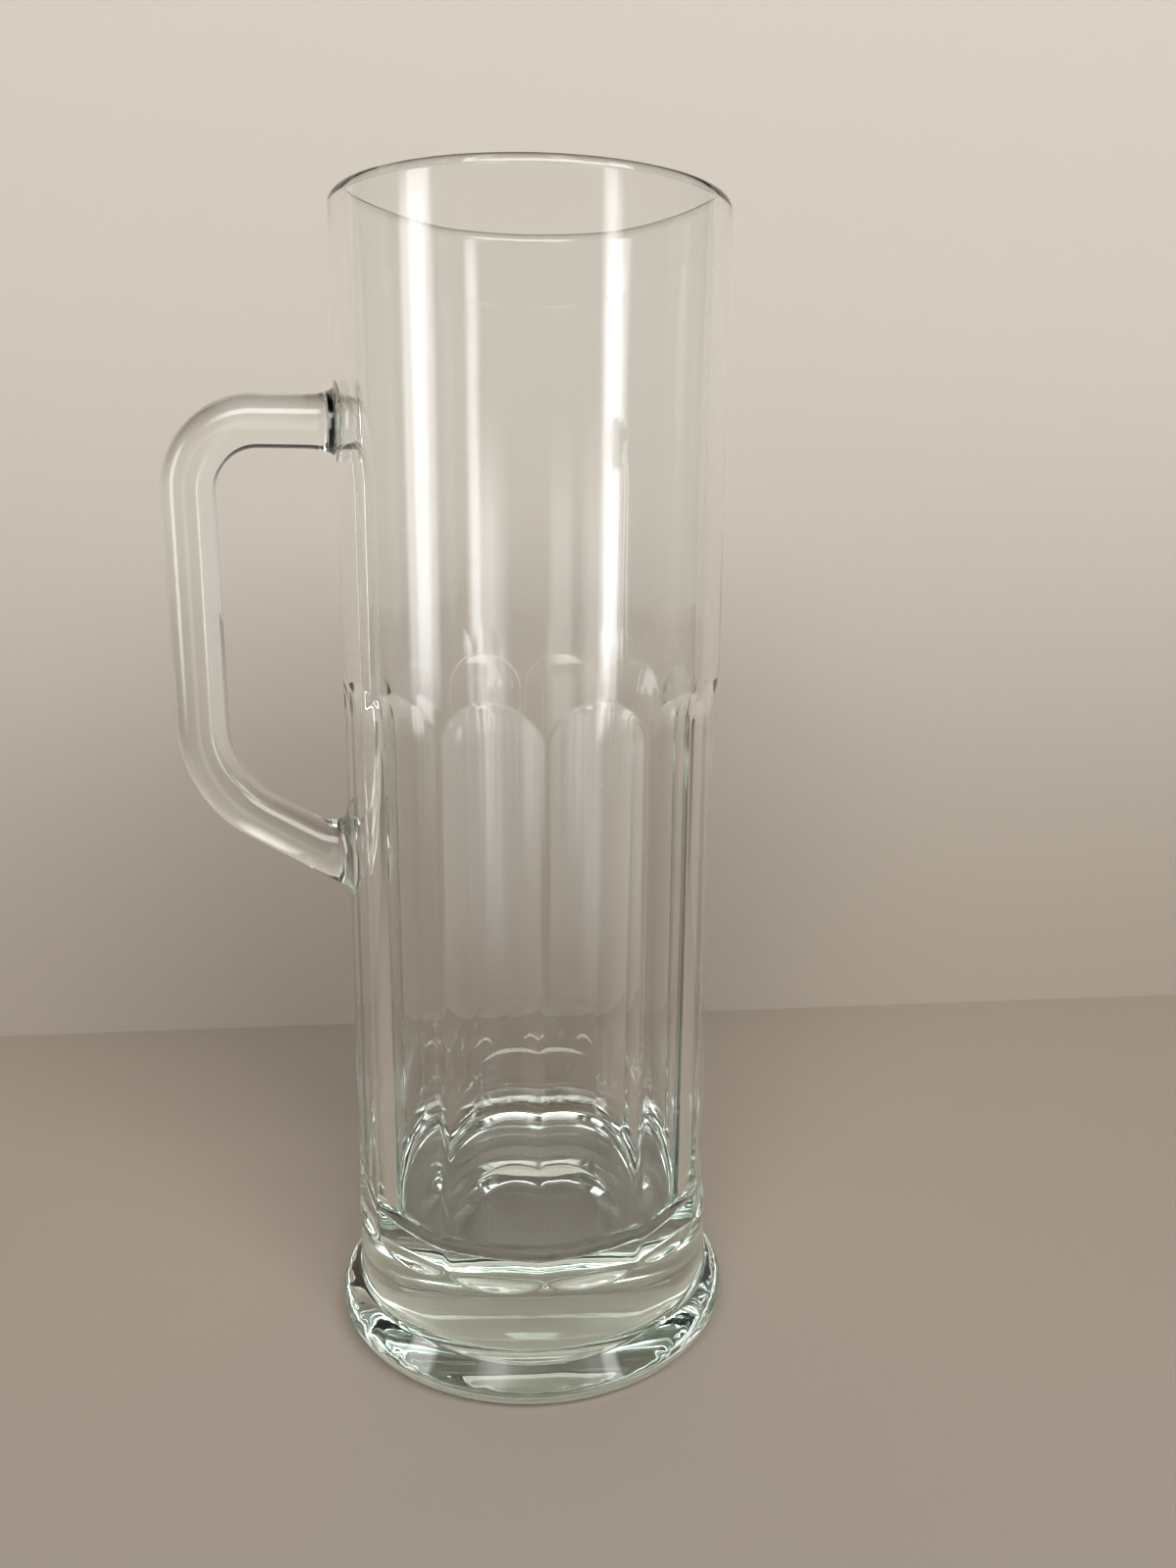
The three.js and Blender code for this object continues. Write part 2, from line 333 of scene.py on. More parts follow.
class SurfaceMarks:
    """The shared node group of waves, fine scratches and smudges on glass."""

    inputs: tuple[str, ...] = ("Wave Scale", "Wave Depth", "Scratch Depth", "Polish", "Smudge")
    outputs: tuple[str, ...] = ("Roughness", "Height")
    noise_detail: float = 2.0
    scratch_scale: float = 34.0
    scratch_edge: tuple[float, float] = (0.006, 0.002)
    scratch_patch_scale: float = 55.0
    scratch_patch_edge: tuple[float, float] = (0.60, 0.64)
    smudge_scale: float = 38.0
    smudge_edge: tuple[float, float] = (0.52, 0.80)

    def build(self) -> bpy.types.NodeTree:
        """Make the node group.

        Returns:
            The group, with its values on Object coordinates.
        """
        tree = bpy.data.node_groups.new("glass_surface_marks", "ShaderNodeTree")
        for name in self.inputs:
            tree.interface.new_socket(name, in_out="INPUT", socket_type="NodeSocketFloat")
        for name in self.outputs:
            tree.interface.new_socket(name, in_out="OUTPUT", socket_type="NodeSocketFloat")
        given = tree.nodes.new("NodeGroupInput")
        result = tree.nodes.new("NodeGroupOutput")
        place = tree.nodes.new("ShaderNodeTexCoord").outputs["Object"]

        wave = self._noise(tree, place, given.outputs["Wave Scale"])
        waves = self._math(tree, "MULTIPLY", wave, given.outputs["Wave Depth"])

        cells = tree.nodes.new("ShaderNodeTexVoronoi")
        cells.feature = "DISTANCE_TO_EDGE"
        cells.inputs["Scale"].default_value = self.scratch_scale
        tree.links.new(place, cells.inputs["Vector"])
        line = self._ramp(tree, cells.outputs["Distance"], self.scratch_edge)
        patch = self._ramp(tree, self._noise(tree, place, self.scratch_patch_scale), self.scratch_patch_edge)
        scratch = self._math(tree, "MULTIPLY", line, patch)
        scratches = self._math(tree, "MULTIPLY", scratch, given.outputs["Scratch Depth"])

        cloud = self._noise(tree, place, self.smudge_scale)
        touched = self._ramp(tree, cloud, self.smudge_edge)
        smudge = self._math(tree, "MULTIPLY", touched, given.outputs["Smudge"])

        tree.links.new(self._math(tree, "SUBTRACT", waves, scratches), result.inputs["Height"])
        tree.links.new(self._math(tree, "ADD", smudge, given.outputs["Polish"]), result.inputs["Roughness"])
        return tree

    def _noise(self, tree: bpy.types.NodeTree, place: bpy.types.NodeSocket,
               scale: float | bpy.types.NodeSocket) -> bpy.types.NodeSocket:
        """Add a noise pattern.

        Args:
            tree: The group that is added to.
            place: Place at which the noise is read.
            scale: Scale of the pattern, as a plain number or as a socket that is linked.

        Returns:
            The noise value.
        """
        node = tree.nodes.new("ShaderNodeTexNoise")
        node.inputs["Detail"].default_value = self.noise_detail
        tree.links.new(place, node.inputs["Vector"])
        if isinstance(scale, float):
            node.inputs["Scale"].default_value = scale
        else:
            tree.links.new(scale, node.inputs["Scale"])
        return node.outputs["Fac"]

    @staticmethod
    def _math(tree: bpy.types.NodeTree, operation: str, first: bpy.types.NodeSocket,
              second: bpy.types.NodeSocket) -> bpy.types.NodeSocket:
        """Add a calculation with two values.

        Args:
            tree: The group that is added to.
            operation: Blender's name of the calculation.
            first: First value.
            second: Second value.

        Returns:
            The result.
        """
        node = tree.nodes.new("ShaderNodeMath")
        node.operation = operation
        tree.links.new(first, node.inputs[0])
        tree.links.new(second, node.inputs[1])
        return node.outputs["Value"]

    @staticmethod
    def _ramp(tree: bpy.types.NodeTree, value: bpy.types.NodeSocket,
              edge: tuple[float, float]) -> bpy.types.NodeSocket:
        """Add a smooth rise from 0 to 1 between two edges.

        Args:
            tree: The group that is added to.
            value: Value that the rise follows.
            edge: Values at which the rise starts and ends.

        Returns:
            The risen value.
        """
        node = tree.nodes.new("ShaderNodeMapRange")
        node.interpolation_type = "SMOOTHSTEP"
        node.inputs["From Min"].default_value = edge[0]
        node.inputs["From Max"].default_value = edge[1]
        tree.links.new(value, node.inputs["Value"])
        return node.outputs["Result"]


@dataclass(frozen=True)
class ProfileSteps:
    """How many rows each stretch of the body's profile has, from the underside to the middle of the floor."""

    panel: int = 6
    slope: int = 10
    ring: int = 8
    toe: int = 16
    upper_round: int = 5
    shoulder: int = 6
    fillet: int = 8
    barrel: tuple[int, ...] = (3, 18, 6, 18, 2, 38, 4, 16, 3)
    lip: int = 14
    wall: int = 8
    floor_corner: int = 20
    floor: int = 8


@dataclass
class PressedBody:
    """The pressed glass body: rim, barrel, arched flutes, heavy base and foot.

    The joint bands are the heights at which the handle's ends sit, where the rows are close together.
    """

    glass: GlassFinish = GlassFinish("pressed_glass")
    height: float = 0.213
    rim_radius: float = 0.035
    neck_radius: float = 0.0355
    rim_wall: float = 0.0034
    base_wall: float = 0.0042
    foot_overhang: float = 0.0039
    toe_width: float = 0.0064
    toe_height: float = 0.0041
    foot_upper_round: float = 0.0016
    shoulder_angle: float = 36.0
    neck_fillet: float = 0.004
    floor_height: float = 0.025
    floor_dish: float = 0.0012
    floor_corner: float = 0.007
    floor_rise: float = 0.007
    panel_radius: float = 0.0165
    panel_depth: float = 0.00115
    panel_slope: float = 0.008
    flute_count: int = 12
    plain_band: float = 0.0825
    heel_band: float = 0.0113
    arch_rise: float = 0.0076
    heel_rise: float = 0.0026
    ridge_land: float = 0.0009
    edge_round: float = 0.00009
    joint_bands: tuple[tuple[float, float], ...] = ((0.087, 0.109), (0.167, 0.185))
    row_margin: float = 0.001
    steps: ProfileSteps = ProfileSteps()
    columns: int = 432
    weld: float = 0.000004
    chill_height: float = 0.0018
    chill_fade: float = 0.0005
    chill_waves: tuple[tuple[int, float, float], ...] = (
        (4, 1.3, 0.0006),
        (9, 0.4, 0.0004),
        (23, 2.1, 0.0003),
    )
    chill_ripple: Ripple = Ripple("chill_ripple", 0.004, 0.0001)
    foot_ripple: Ripple = Ripple("foot_ripple", 0.016, 0.00003)
    wall_ripple: Ripple = Ripple("wall_ripple", 0.014, 0.00005, stretch=3.5)

    @property
    def foot_radius(self) -> float:
        """Widest radius of the foot."""
        return self.neck_radius + self.foot_overhang

    @property
    def lip_height(self) -> float:
        """Height at which the rounded lip starts."""
        return self.height - self.rim_wall / 2

    @property
    def neck_height(self) -> float:
        """Height of the top of the fillet between the foot and the barrel."""
        slope = math.radians(self.shoulder_angle)
        start_radius = self.foot_radius - self.foot_upper_round * (1 - math.cos(slope))
        start_height = self.toe_height + self.foot_upper_round * math.sin(slope)
        corner = start_height + (start_radius - self.neck_radius) / math.tan(slope)
        return corner + self.neck_fillet * math.tan(slope / 2)

    @property
    def flute_top(self) -> float:
        """Height of the crown of a flute's arch."""
        return self.height - self.plain_band

    @property
    def flute_bottom(self) -> float:
        """Height of the lowest point of a flute's heel."""
        return self.neck_height + self.heel_band

    @property
    def flute_half_angle(self) -> float:
        """Half of the angle that a flute takes of the barrel."""
        return math.pi / self.flute_count - self.ridge_land / (2 * self.barrel_radius(self.flute_top))

    def barrel_radius(self, z: np.ndarray | float) -> np.ndarray | float:
        """Outside radius of the plain barrel at a height."""
        share = (z - self.neck_height) / (self.lip_height - self.neck_height)
        return self.neck_radius + (self.rim_radius - self.neck_radius) * share

    def run_out(self, z: np.ndarray, end: RunOut) -> np.ndarray:
        """How far a flute's panel has come out towards the barrel at its arch or its heel.

        Args:
            z: Heights.
            end: The arch above or the heel below.

        Returns:
            The distance that the panel has left its plane, with a large value past the barrel.
        """
        rise = self.arch_rise if end is RunOut.ARCH else self.heel_rise
        edge = self.flute_top if end is RunOut.ARCH else self.flute_bottom
        start = edge - end.value * rise
        depth = self.barrel_radius(edge) - self.barrel_radius(start) * math.cos(self.flute_half_angle)
        radius = (rise**2 + depth**2) / (2 * depth)
        past = np.clip((z - start) * end.value, 0, radius)
        return radius - np.sqrt(radius**2 - past**2)

    def outer_radius(self, angle: np.ndarray, z: np.ndarray) -> np.ndarray:
        """Outside radius of the fluted barrel.

        Args:
            angle: Angles round the axis.
            z: Heights.

        Returns:
            The radius at each angle and height, with the flutes' edges softly rounded.
        """
        pitch = math.tau / self.flute_count
        off_centre = np.mod(angle, pitch) - pitch / 2
        barrel = self.barrel_radius(z)
        panel = barrel * math.cos(self.flute_half_angle)
        panel = panel + self.run_out(z, RunOut.ARCH) + self.run_out(z, RunOut.HEEL)
        cut = barrel - panel / np.cos(off_centre)
        soft = self.edge_round
        eased = np.where(cut > soft, cut, np.square(np.clip(cut + soft, 0, None)) / (4 * soft))
        return barrel - eased

    def outline(self) -> Outline:
        """Profile of the body, with more rows where the flutes run out and where the handle sits.

        Returns:
            Points from the underside's middle, over the foot, barrel and lip, to the floor's middle.
        """
        foot, neck, lip = self.foot_radius, self.neck_radius, self.rim_wall / 2
        steps, margin = self.steps, self.row_margin
        ring = self.panel_radius + self.panel_slope
        toe = (foot - self.toe_width, self.toe_height)
        upper = (foot - self.foot_upper_round, self.toe_height)
        upper_round = (self.foot_upper_round, self.foot_upper_round)
        corner = (neck - self.base_wall - self.floor_corner, self.floor_height + self.floor_rise)
        shoulder = arc(upper, upper_round, self.shoulder_angle, self.shoulder_angle, 1)[0]
        fillet = arc((neck + self.neck_fillet, self.neck_height), (self.neck_fillet, self.neck_fillet),
                     180 + self.shoulder_angle, 180, steps.fillet)
        heel = (self.flute_bottom - margin, self.flute_bottom + self.heel_rise + margin)
        arch = (self.flute_top - self.arch_rise - margin, self.flute_top + margin)
        low_joint, high_joint = self.joint_bands
        levels = [self.neck_height, *heel, *low_joint, *arch, *high_joint, self.lip_height]

        points = straight((0, self.panel_depth), (self.panel_radius, self.panel_depth), steps.panel)
        points += straight((self.panel_radius, self.panel_depth), (ring, 0), steps.slope)
        points += straight((ring, 0), (toe[0], 0), steps.ring)
        points += arc(toe, (self.toe_width, self.toe_height), -90, 0, steps.toe)
        points += arc(upper, upper_round, 0, self.shoulder_angle, steps.upper_round)[1:-1]
        points += straight(shoulder, fillet[0], steps.shoulder) + fillet[:-1]
        for low, high, rows in zip(levels, levels[1:], steps.barrel):
            points += straight((self.barrel_radius(low), low), (self.barrel_radius(high), high), rows)
        points += arc((self.rim_radius - lip, self.lip_height), (lip, lip), 0, 180, steps.lip)
        points += straight(points[-1], (neck - self.base_wall, corner[1]), steps.wall)[1:]
        points += arc(corner, (self.floor_corner, self.floor_rise), 0, -90, steps.floor_corner)
        for share in np.linspace(1, 0, steps.floor + 1)[1:]:
            points.append((corner[0] * share, self.floor_height - self.floor_dish * (1 - share**2)))
        return points

    def build(self) -> bpy.types.Object:
        """Spin the profile, press the flutes into the barrel and leave the mould's ripples on it.

        Returns:
            The finished piece.
        """
        piece = spin_outline("pressed_body", self.outline(), self.columns, self.weld)
        points = read_points(piece)
        z = points[:, 2]
        radius = np.hypot(points[:, 0], points[:, 1])
        on_barrel = (z >= self.neck_height) & (z <= self.lip_height)
        on_barrel &= radius > self.barrel_radius(z) - self.rim_wall / 2
        angle = np.arctan2(points[:, 1], points[:, 0])
        scale = np.where(on_barrel, self.outer_radius(angle, z) / np.maximum(radius, self.weld), 1)
        points[:, :2] *= scale[:, None]
        write_points(piece, points)
        chilled = self.chill_share(angle, z)
        self.chill_ripple.press(piece, np.where(radius > self.foot_radius - self.toe_width, chilled, 0))
        self.foot_ripple.press(piece, np.clip((self.neck_height - z) / self.toe_height, 0, 1))
        self.wall_ripple.press(piece, np.clip((z - self.neck_height) / self.toe_height, 0, 1))
        return piece

    def chill_share(self, angle: np.ndarray, z: np.ndarray) -> np.ndarray:
        """Where the toe was wrinkled by the cold mould, up to an uneven edge.

        Args:
            angle: Angles round the axis.
            z: Heights.

        Returns:
            The share of wrinkling at each place, from 0 to 1.
        """
        waves = sum(deep * np.sin(times * angle + shift) for times, shift, deep in self.chill_waves)
        return np.clip((self.chill_height + waves - z) / self.chill_fade, 0, 1)

    def fused_faces(self, piece: bpy.types.Object, seats: list[np.ndarray]) -> np.ndarray:
        """Which faces of the wall lie under the ends of the handle.

        Args:
            piece: The finished body.
            seats: Outlines of the handle's ends as distances to the side and heights.

        Returns:
            True for each face that lies wholly under an end.
        """
        points = read_points(piece)
        radius = np.hypot(points[:, 0], points[:, 1])
        outside = (points[:, 0] < 0) & (radius > self.barrel_radius(points[:, 2]) - self.rim_wall / 2)
        covered = np.zeros(len(points), bool)
        for seat in seats:
            middle = seat.mean(axis=0)
            edge = seat - middle
            place = points[:, 1:] - middle
            reach = np.interp(np.arctan2(place[:, 1], place[:, 0]), np.arctan2(edge[:, 1], edge[:, 0]),
                              np.hypot(edge[:, 0], edge[:, 1]), period=math.tau)
            covered |= outside & (np.hypot(place[:, 0], place[:, 1]) < reach)
        return whole_faces(piece, covered)

    def dress(self, piece: bpy.types.Object, finish: bpy.types.Material, seats: list[np.ndarray]) -> None:
        """Give the piece its finish, melt its wall under the handle's ends and let it stand for its solid.

        Args:
            piece: The finished body.
            finish: The finish of the glass.
            seats: Outlines of the handle's ends.
        """
        piece.data.materials.append(finish)
        mark_fused(piece, self.fused_faces(piece, seats))
        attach(piece, BODY)
        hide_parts("glass_body")


@dataclass(frozen=True)
class Flare:
    """How an end of the handle opens out onto the wall.

    Length is measured along the rod and width along the wall. The lean adds to both on the upper side and
    takes as much from the lower side.
    """

    length: float
    width: float
    length_lean: float = 0.0
    width_lean: float = 0.0


@dataclass
class RodHandle:
    """The bent glass rod, with a flare at each end that is fused to the wall of the body."""

    wall: PressedBody
    glass: GlassFinish = GlassFinish("drawn_glass", wave_scale=110.0)
    rod_radius: float = 0.0047
    finger_gap: float = 0.0215
    upper_drop: float = 0.037
    joint_span: float = 0.0812
    arm_slope: float = math.radians(30)
    upper_bend: float = 0.0125
    lower_bend: float = 0.020
    upper_flare: Flare = Flare(length=0.0052, width=0.0023)
    lower_flare: Flare = Flare(length=0.0055, width=0.0036, length_lean=0.003, width_lean=0.0033)
    weld_depth: float = 0.0001
    sides: int = 96
    flare_rings: int = 14
    bend_rings: int = 24
    straight_rings: int = 6
    cap_shares: tuple[float, ...] = (0.85, 0.68, 0.5, 0.32, 0.15)
    wall_rounds: int = 4
    meet_rounds: int = 6

    @property
    def upper_height(self) -> float:
        """Height of the rod's axis at the upper joint."""
        return self.wall.height - self.upper_drop

    @property
    def lower_height(self) -> float:
        """Height of the rod's axis at the lower joint."""
        return self.upper_height - self.joint_span

    @property
    def grip_reach(self) -> float:
        """Distance from the mug's axis to the axis of the upright grip."""
        return self.wall.barrel_radius(self.upper_height) + self.finger_gap + self.rod_radius

    def axis_points(self) -> tuple[np.ndarray, np.ndarray]:
        """Centre line of the rod between the flares.

        Returns:
            The points as distance from the mug's axis and height, and the direction angle at each point.
        """
        turn = math.pi / 2 - self.arm_slope
        lower_wall = self.wall.barrel_radius(self.lower_height)
        upper_x, upper_z = self.grip_reach - self.upper_bend, self.upper_height - self.upper_bend
        lower_x = self.grip_reach - self.lower_bend
        end_x = lower_x + self.lower_bend * math.cos(turn)
        end_z = self.lower_height + (end_x - lower_wall) * math.tan(self.arm_slope)
        lower_z = end_z + self.lower_bend * math.sin(turn)
        flare_x = self.wall.barrel_radius(self.upper_height) + self.upper_flare.length
        flare = self.lower_flare
        reach = flare.length + flare.length_lean + self.rod_radius * math.tan(self.arm_slope)
        stop_x = lower_wall + reach * math.cos(self.arm_slope)
        points, angles = [], []
        for x in np.linspace(flare_x, upper_x, self.straight_rings, endpoint=False):
            points.append((x, self.upper_height))
            angles.append(0.0)
        for bend in np.linspace(0, math.pi / 2, self.bend_rings, endpoint=False):
            points.append((upper_x + self.upper_bend * math.sin(bend),
                           upper_z + self.upper_bend * math.cos(bend)))
            angles.append(-bend)
        for z in np.linspace(upper_z, lower_z, self.straight_rings, endpoint=False):
            points.append((self.grip_reach, z))
            angles.append(-math.pi / 2)
        for bend in np.linspace(0, turn, self.bend_rings, endpoint=False):
            points.append((lower_x + self.lower_bend * math.cos(bend),
                           lower_z - self.lower_bend * math.sin(bend)))
            angles.append(-math.pi / 2 - bend)
        for x in np.linspace(end_x, stop_x, self.straight_rings):
            points.append((x, self.lower_height + (x - lower_wall) * math.tan(self.arm_slope)))
            angles.append(-math.pi / 2 - turn)
        return np.array(points), np.array(angles)

    def ring(self, point: np.ndarray, angle: float) -> np.ndarray:
        """A round of vertices square on the rod.

        Args:
            point: Place on the centre line.
            angle: Direction of the centre line there.

        Returns:
            The vertices, the first of them on the upper or outer side.
        """
        turn = np.linspace(0, math.tau, self.sides, endpoint=False)
        out = point[0] - self.rod_radius * np.cos(turn) * math.sin(angle)
        up = point[1] + self.rod_radius * np.cos(turn) * math.cos(angle)
        return np.stack([-out, self.rod_radius * np.sin(turn), up], axis=1)

    def on_wall(self, y: np.ndarray, z: np.ndarray) -> np.ndarray:
        """Points just under the skin of the body's wall, on the handle's side.

        Args:
            y: Distances to the side.
            z: Heights.

        Returns:
            The points.
        """
        x = -np.sqrt(self.wall.barrel_radius(z) ** 2 - y**2)
        for _ in range(self.wall_rounds):
            radius = self.wall.outer_radius(np.arctan2(y, x), z) - self.weld_depth
            x = -np.sqrt(radius**2 - y**2)
        return np.stack([x, y, z], axis=1)

    def flare_end(self, start: np.ndarray, towards: np.ndarray, flare: Flare) -> list[np.ndarray]:
        """Rings that carry on from the rod's last ring, open out onto the wall and close on it.

        Args:
            start: The rod's last ring.
            towards: Direction of the rod towards the wall.
            flare: The flare's size.

        Returns:
            The rings from the rod to the middle of the seat, of which the last few lie on the wall.
        """
        turn = np.arctan2(start[:, 1], start[:, 2] - start[:, 2].mean())
        meet = start.copy()
        for _ in range(self.meet_rounds):
            seat = self.on_wall(meet[:, 1], meet[:, 2])
            meet = meet + ((seat[:, 0] - meet[:, 0]) / towards[0])[:, None] * towards
        lean = np.cos(turn)
        width = flare.width + flare.width_lean * lean
        begin = meet - towards * (flare.length + flare.length_lean * lean)[:, None]
        seat_y = meet[:, 1] + width * np.sin(turn)
        seat_z = meet[:, 2] + width * np.cos(turn)
        seat = self.on_wall(seat_y, seat_z)
        rings = []
        for s in np.linspace(0, 1, self.flare_rings):
            rings.append((1 - s) ** 2 * begin + 2 * s * (1 - s) * meet + s**2 * seat)
        middle_y, middle_z = seat_y.mean(), seat_z.mean()
        for share in self.cap_shares:
            cap_y = middle_y + (seat_y - middle_y) * share
            cap_z = middle_z + (seat_z - middle_z) * share
            rings.append(self.on_wall(cap_y, cap_z))
        return rings

    def rings(self) -> np.ndarray:
        """All rounds of vertices of the handle.

        Returns:
            The rings from the middle of the upper seat to the middle of the lower one.
        """
        points, angles = self.axis_points()
        rod = [self.ring(point, angle) for point, angle in zip(points, angles)]
        upper = self.flare_end(rod[0], np.array([1.0, 0, 0]), self.upper_flare)
        down = np.array([math.cos(self.arm_slope), 0, -math.sin(self.arm_slope)])
        lower = self.flare_end(rod[-1], down, self.lower_flare)
        return np.array(upper[::-1] + rod[1:-1] + lower)

    def seats(self) -> list[np.ndarray]:
        """Outlines of both ends on the wall.

        Returns:
            The upper and the lower outline, as distances to the side and heights.
        """
        rings = self.rings()
        caps = len(self.cap_shares)
        return [rings[caps][:, 1:], rings[-1 - caps][:, 1:]]

    def build(self) -> bpy.types.Object:
        """Bend the rod and flare both ends onto the wall.

        Returns:
            The finished piece.
        """
        return extrude_rings("rod_handle", self.rings())

    def dress(self, piece: bpy.types.Object, finish: bpy.types.Material) -> None:
        """Give the piece its finish, melt its ends into the wall and let it stand for its solid.

        Args:
            piece: The finished handle.
            finish: The finish of the glass.
        """
        piece.data.materials.append(finish)
        number = np.arange(len(piece.data.vertices))
        on_seat = (len(self.cap_shares) + 1) * self.sides
        last = len(self.rings()) * self.sides
        seated = (number < on_seat) | (number >= last - on_seat)
        mark_fused(piece, whole_faces(piece, seated))
        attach(piece, BODY)
        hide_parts("handle")


@dataclass(frozen=True)
class Lamp:
    """A rectangular lamp that faces the mug and fades out towards its edges."""

    name: str
    azimuth: float
    elevation: float
    distance: float
    width: float
    tall: float
    radiance: float
    colour: tuple[float, float, float] = (1.0, 1.0, 1.0)
    feather: tuple[float, float] = (0.25, 0.25)

    def build(self, target: Vector, lit: bpy.types.Collection | None) -> bpy.types.Object:
        """Hang the lamp.

        Args:
            target: Point that the lamp faces.
            lit: The only things that the lamp lights, or nothing where it lights all.

        Returns:
            The lamp.
        """
        light = bpy.data.lights.new(self.name, "AREA")
        light.shape = "RECTANGLE"
        light.size, light.size_y = self.width, self.tall
        light.energy = self.radiance * math.pi * self.width * self.tall
        light.color = self.colour
        strength = self._fade(light)
        if lit is not None:
            strength = self._reflected(light, strength)
        tree = light.node_tree
        tree.links.new(strength, tree.nodes["Emission"].inputs["Strength"])
        lamp = bpy.data.objects.new(self.name, light)
        around, above = math.radians(self.azimuth), math.radians(self.elevation)
        level = self.distance * math.cos(above)
        height = self.distance * math.sin(above)
        lamp.location = target + Vector((level * math.sin(around), -level * math.cos(around), height))
        lamp.rotation_euler = (target - lamp.location).to_track_quat("-Z", "Y").to_euler()
        lamp.visible_camera = False
        bpy.context.scene.collection.objects.link(lamp)
        if lit is not None:
            lamp.light_linking.receiver_collection = lit
        return lamp

    @staticmethod
    def _reflected(light: bpy.types.Light, strength: bpy.types.NodeSocket) -> bpy.types.NodeSocket:
        """Show the lamp in reflections alone, so that from behind it isn't seen through the glass.

        Args:
            light: Light whose nodes are added to.
            strength: Strength that a reflection of the lamp keeps.

        Returns:
            The strength, or nothing on a straight way through the glass.
        """
        tree = light.node_tree
        path = tree.nodes.new("ShaderNodeLightPath")
        once = tree.nodes.new("ShaderNodeMath")
        once.operation = "MINIMUM"
        once.inputs[1].default_value = 1.0
        shown = tree.nodes.new("ShaderNodeMath")
        shown.operation = "MULTIPLY"
        tree.links.new(path.outputs["Glossy Depth"], once.inputs[0])
        tree.links.new(once.outputs["Value"], shown.inputs[0])
        tree.links.new(strength, shown.inputs[1])
        return shown.outputs["Value"]

    def _fade(self, light: bpy.types.Light) -> bpy.types.NodeSocket:
        """Let the light fall off over the outer share of the lamp's width and height.

        Args:
            light: Light whose nodes are added to.

        Returns:
            The share of the light that each point of the lamp gives.
        """
        light.use_nodes = True
        tree = light.node_tree
        place = tree.nodes.new("ShaderNodeNewGeometry")
        parts = tree.nodes.new("ShaderNodeSeparateXYZ")
        both = tree.nodes.new("ShaderNodeMath")
        both.operation = "MULTIPLY"
        tree.links.new(place.outputs["Parametric"], parts.inputs["Vector"])
        for index, axis in enumerate("XY"):
            inward = tree.nodes.new("ShaderNodeMath")
            inward.operation = "PINGPONG"
            inward.inputs[1].default_value = 0.5
            fade = tree.nodes.new("ShaderNodeMapRange")
            fade.interpolation_type = "SMOOTHSTEP"
            fade.inputs["From Max"].default_value = self.feather[index]
            tree.links.new(parts.outputs[axis], inward.inputs[0])
            tree.links.new(inward.outputs["Value"], fade.inputs["Value"])
            tree.links.new(fade.outputs["Result"], both.inputs[index])
        return both.outputs["Value"]


